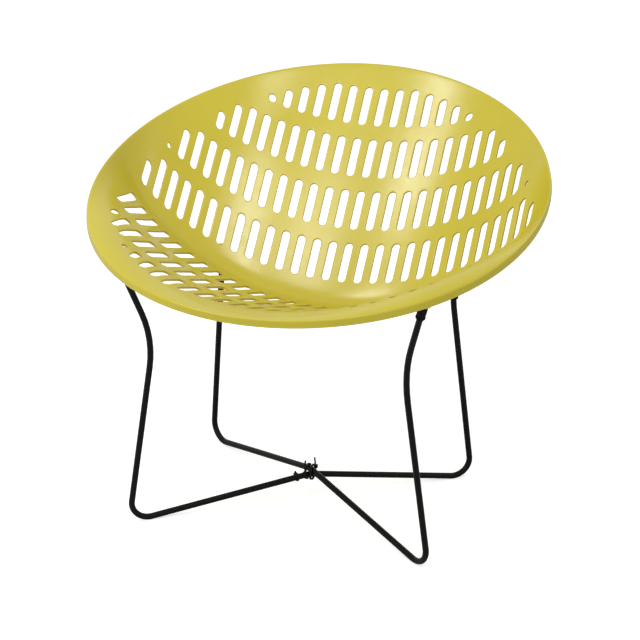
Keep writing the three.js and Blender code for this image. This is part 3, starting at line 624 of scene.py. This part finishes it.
def band_form(middle, axis, level, half_wide, half_high, rise):
    """A flat band in a loop round an axis: two half ellipses, the upper one raised and the lower one sunk by
    the same amount. No point stands at the very side, where the two meet."""
    angle = np.linspace(0, 2 * np.pi, 49)[:-1] + 0.01
    out = (half_wide + band_thickness / 2) * np.cos(angle)
    up = np.sign(np.sin(angle)) * rise + (half_high + band_thickness / 2) * np.sin(angle)
    loop = middle + out[:, None] * level + up[:, None] * upright
    ahead = np.roll(loop, -1, 0) - np.roll(loop, 1, 0)
    ahead /= np.linalg.norm(ahead, axis=1, keepdims=True)
    outwards = np.cross(ahead, axis)
    outwards *= np.sign(np.sum(outwards * (loop - middle), 1, keepdims=True))
    section = round_band * [band_width, band_thickness]
    band = loop[:, None] + section[:, 0][:, None] * axis + section[:, 1][:, None] * outwards[:, None]
    return closed_form(band, joined=True)


def bar_form(foot, way, axis, broad, thick, stations):
    """A straight bar with the band's outline, whose section is scaled by a share at each station along it."""
    section = round_band[:, :1] * broad * axis + round_band[:, 1:] * thick * np.cross(way, axis)
    return closed_form(np.array([foot + along * way + share * section for along, share in stations]))


# Each tie: its middle, the turn of its loop, the loop's half width and half height without the rise, the
# rise, which side its head is on, and the length and lean of its tail.
low_apex, low_front_foot, low_middle = crossings["rod_under"]
low_run = low_front_foot - low_middle
low_run /= np.linalg.norm(low_run)
crossing = (low_apex + crossings["rod_over"][0]) / 2
front_run = math.atan2(crossing_y - front_foot_spot[1], front_foot_spot[0])
wide = rod_radius / math.cos(front_run) + (tie_spread + band_width / 2) * math.tan(front_run) + crossing_slack
high = rod_radius + crossing_slack
both_rods = rod_radius + fit_gap / 2
single = rod_radius + single_slack
on_low_rod = low_middle + single_offset * low_run
for name, middle, turn, half_wide, half_high, rise, side, tail_length, lean in (
        ("first", crossing - [tie_spread, 0, 0], math.pi / 2, wide, high, both_rods, -1, 0.024, -0.1),
        ("second", crossing + [tie_spread, 0, 0], math.pi / 2, wide, high, both_rods, 1, 0.021, -0.25),
        ("third", on_low_rod, math.pi / 2 + front_run, single, single, 0, 1, 0.007, 0.4)):
    axis = np.array([math.sin(turn), -math.cos(turn), 0])
    level = np.array([math.cos(turn), math.sin(turn), 0])
    beside = middle + side * half_wide * level + rise / 2 * upright
    head_at = beside + side * (band_thickness / 2 + head_stand) * level
    tail_foot = beside + side * (band_thickness + tail_stand) * level
    tail_way = upright * math.cos(lean) + side * math.sin(lean) * level
    head_stations = ((-head_half, 0.8), (-head_edge, 1), (head_edge, 1), (head_half, 0.8))
    tail_stations = ((0, 0.9), (tail_length * 0.5, 0.9), (tail_length * 0.92, 0.9), (tail_length, 0.55))
    forms = [
        band_form(middle, axis, level, half_wide, half_high, rise),
        bar_form(head_at, upright, axis, 2 * head_half, 2 * head_half, head_stations),
        bar_form(tail_foot, tail_way, axis, tail_width, tail_thickness, tail_stations)]
    starts = np.cumsum([0] + [len(points) for points, _, _ in forms])
    tie = mesh_piece("cable_tie_" + name, np.concatenate([points for points, _, _ in forms]),
                     np.concatenate([fans + start for (_, fans, _), start in zip(forms, starts)]),
                     np.concatenate([walls + start for (_, _, walls), start in zip(forms, starts)]), 30)
    tie.data.materials.append(tie_material)
    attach(tie, "root")
    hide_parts("tie_" + name)

# Floor. It is plain and pale, glows enough to look white to the camera, and keeps the chair's shadow.
floor_half = 9
floor_glow = 0.6
floor_corners = [(-floor_half, -floor_half, 0), (floor_half, -floor_half, 0), (floor_half, floor_half, 0),
                 (-floor_half, floor_half, 0)]
floor_mesh = bpy.data.meshes.new("floor")
floor_mesh.from_pydata(floor_corners, [], [(0, 1, 2, 3)])
floor = bpy.data.objects.new("floor", floor_mesh)
bpy.context.scene.collection.objects.link(floor)
floor_material, tree, shader = new_finish("pale_floor")
shader.inputs["Base Color"].default_value = (0.9, 0.9, 0.9, 1)
shader.inputs["Roughness"].default_value = 0.9
shader.inputs["Specular IOR Level"].default_value = 0
shader.inputs["Emission Color"].default_value = (1, 1, 1, 1)
rays = tree.nodes.new("ShaderNodeLightPath")
glow = tree.nodes.new("ShaderNodeMath")
glow.operation = "MULTIPLY"
glow.inputs[1].default_value = floor_glow
tree.links.new(rays.outputs["Is Camera Ray"], glow.inputs[0])
tree.links.new(glow.outputs[0], shader.inputs["Emission Strength"])
floor_mesh.materials.append(floor_material)

# Light. The world is white to the camera and in reflections, and dimmer as light on the chair. Three small
# lamps high up in front, one on the right and a large soft one at the front left give the sheen and shadows.
world_light = 0.48
world = bpy.data.worlds.new("studio")
bpy.context.scene.world = world
world.use_nodes = True
tree = world.node_tree
background = tree.nodes["Background"]
background.inputs["Color"].default_value = (1, 1, 1, 1)
rays = tree.nodes.new("ShaderNodeLightPath")
seen = tree.nodes.new("ShaderNodeMath")
seen.operation = "MAXIMUM"
tree.links.new(rays.outputs["Is Camera Ray"], seen.inputs[0])
tree.links.new(rays.outputs["Is Transmission Ray"], seen.inputs[1])
mirrored = tree.nodes.new("ShaderNodeMath")
mirrored.operation = "MAXIMUM"
tree.links.new(seen.outputs[0], mirrored.inputs[0])
tree.links.new(rays.outputs["Is Glossy Ray"], mirrored.inputs[1])
level = tree.nodes.new("ShaderNodeMapRange")
level.inputs["To Min"].default_value = world_light
level.inputs["To Max"].default_value = 1
tree.links.new(mirrored.outputs[0], level.inputs["Value"])
tree.links.new(level.outputs["Result"], background.inputs["Strength"])

lamp_aim = Vector((0, 0, 0.4))
for name, spot, size, power in (
        ("overhead", (-0.45, -1.15, 2.7), 0.6, 9), ("left", (-1.12, -0.47, 2.52), 0.35, 6),
        ("front", (0.28, -0.9, 2.65), 0.35, 6), ("right", (2.2, -0.1, 1.9), 0.6, 3),
        ("fill", (-1.5, -2.4, 1.6), 1.6, 18)):
    lamp_data = bpy.data.lights.new(name, "AREA")
    lamp_data.size = size
    lamp_data.energy = power
    lamp = bpy.data.objects.new(name, lamp_data)
    lamp.location = spot
    lamp.rotation_euler = (lamp_aim - Vector(spot)).to_track_quat("-Z", "Y").to_euler()
    bpy.context.scene.collection.objects.link(lamp)

# Camera at the photograph's viewing angle and distance, with the chair in the middle of the picture. The lens
# is longer than the photograph's, so that the one chair fills the frame.
photo_lens = 67.5
enlargement = 1.7
camera_turn = 18.43
camera_dip = 22.98
camera_data = bpy.data.cameras.new("camera")
camera_data.sensor_width = 36
camera_data.lens = photo_lens * enlargement
camera = bpy.data.objects.new("camera", camera_data)
camera.location = (1.0062, -3.0084, 1.6615)
turned = Matrix.Rotation(math.radians(camera_turn), 4, "Z")
dipped = Matrix.Rotation(math.radians(90 - camera_dip), 4, "X")
camera.rotation_euler = (turned @ dipped).to_euler()
bpy.context.scene.collection.objects.link(camera)
bpy.context.scene.camera = camera
bpy.context.scene.view_settings.view_transform = "Standard"
